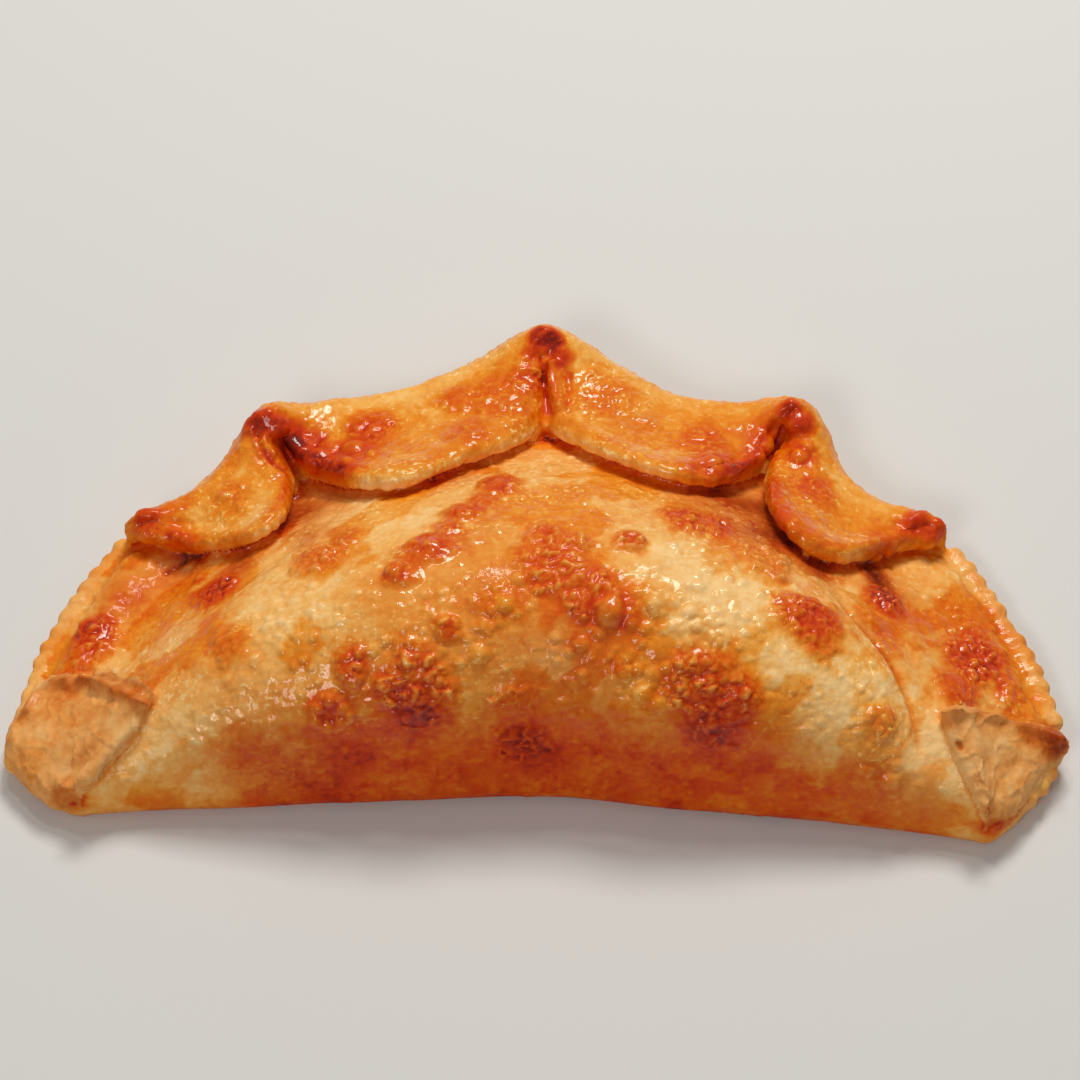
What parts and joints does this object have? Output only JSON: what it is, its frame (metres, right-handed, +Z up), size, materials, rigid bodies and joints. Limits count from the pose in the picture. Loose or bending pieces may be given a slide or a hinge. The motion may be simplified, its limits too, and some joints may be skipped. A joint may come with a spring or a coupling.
{
  "type": "empanada",
  "caption": "Baked half-moon empanada with a domed filled body, a rim folded over in lobes with pinched tips, and folded-in corners.",
  "frame": {"origin": "middle of the underside, on the table", "axes": "+X along the straight fold to the viewer's right, +Y from the straight fold towards the folded rim at the back, +Z up"},
  "size_m": [0.1788, 0.0998, 0.0351],
  "materials": {
    "baked_crust": "egg-glazed golden pastry, satin to glossy, with blistered red-brown patches, darker caramel tips and matt corners"
  },
  "bodies": {
    "root": {"crust": "baked_crust"}
  },
  "joints": []
}
